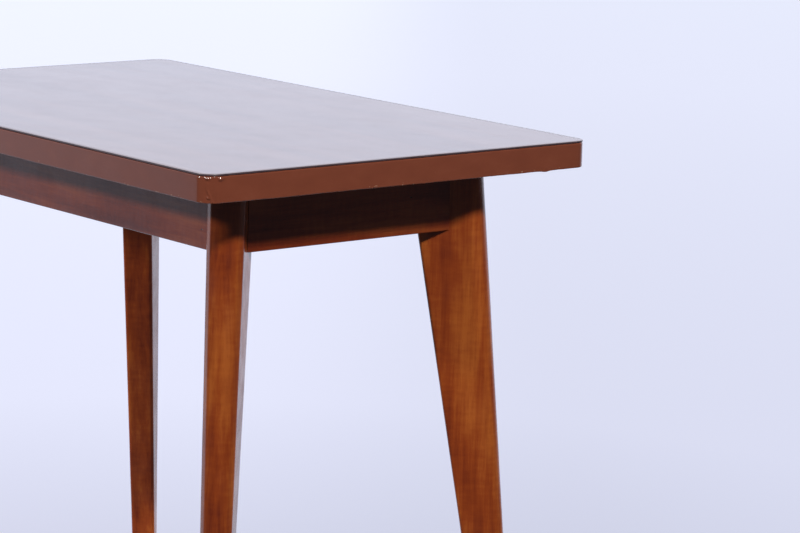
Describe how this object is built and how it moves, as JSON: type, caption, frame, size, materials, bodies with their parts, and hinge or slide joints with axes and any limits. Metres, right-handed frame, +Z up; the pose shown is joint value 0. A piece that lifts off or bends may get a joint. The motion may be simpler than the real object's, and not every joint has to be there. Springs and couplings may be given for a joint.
{
  "type": "small table",
  "caption": "Small rectangular table with a laminated top, painted lippings with rounded corners, an apron frame and splayed tapered board legs set on the diagonals.",
  "frame": {"origin": "on the floor under the middle of the top", "axes": "+X along the long side of the top, +Y to the back, +Z up"},
  "size_m": [0.73, 0.46, 0.57],
  "materials": {
    "laminate": "satin decorative laminate, greyish brown with faint streaks along the top, dark core line at its edge",
    "painted_edge": "glossy red-brown enamel over solid wood, brushed on thickly, with ridges and small runs",
    "stained_wood": "mid red-brown stain under clear gloss lacquer, wavy upright grain",
    "board": "raw chipboard",
    "backing": "thin brown balancing sheet, matt",
    "raw_wood": "raw beech",
    "screw_steel": "plain steel wood screws, slightly dull",
    "glide_plastic": "dark brown moulded plastic"
  },
  "bodies": {
    "root": {"top_laminate": "laminate", "top_core": "board", "backing_sheet": "backing", "lipping_front": "painted_edge", "lipping_right": "painted_edge", "lipping_back": "painted_edge", "lipping_left": "painted_edge", "apron_front": "stained_wood", "apron_right": "stained_wood", "apron_back": "stained_wood", "apron_left": "stained_wood", "leg_front_right": "stained_wood", "leg_back_right": "stained_wood", "leg_back_left": "stained_wood", "leg_front_left": "stained_wood", "corner_block_front_right": "raw_wood", "corner_block_back_right": "raw_wood", "corner_block_back_left": "raw_wood", "corner_block_front_left": "raw_wood", "dowel_front_right_long_upper": "raw_wood", "dowel_front_right_long_lower": "raw_wood", "dowel_front_right_short_upper": "raw_wood", "dowel_front_right_short_lower": "raw_wood", "dowel_back_right_long_upper": "raw_wood", "dowel_back_right_long_lower": "raw_wood", "dowel_back_right_short_upper": "raw_wood", "dowel_back_right_short_lower": "raw_wood", "dowel_back_left_long_upper": "raw_wood", "dowel_back_left_long_lower": "raw_wood", "dowel_back_left_short_upper": "raw_wood", "dowel_back_left_short_lower": "raw_wood", "dowel_front_left_long_upper": "raw_wood", "dowel_front_left_long_lower": "raw_wood", "dowel_front_left_short_upper": "raw_wood", "dowel_front_left_short_lower": "raw_wood", "block_screw_front_right_long": "screw_steel", "block_screw_front_right_short": "screw_steel", "block_screw_back_right_long": "screw_steel", "block_screw_back_right_short": "screw_steel", "block_screw_back_left_long": "screw_steel", "block_screw_back_left_short": "screw_steel", "block_screw_front_left_long": "screw_steel", "block_screw_front_left_short": "screw_steel", "fixing_block_front_1": "raw_wood", "fixing_block_front_2": "raw_wood", "fixing_block_right": "raw_wood", "fixing_block_back_1": "raw_wood", "fixing_block_back_2": "raw_wood", "fixing_block_left": "raw_wood", "top_screw_front_1": "screw_steel", "top_screw_front_2": "screw_steel", "top_screw_right": "screw_steel", "top_screw_back_1": "screw_steel", "top_screw_back_2": "screw_steel", "top_screw_left": "screw_steel", "foot_glide_front_right": "glide_plastic", "foot_glide_back_right": "glide_plastic", "foot_glide_back_left": "glide_plastic", "foot_glide_front_left": "glide_plastic"}
  },
  "joints": []
}
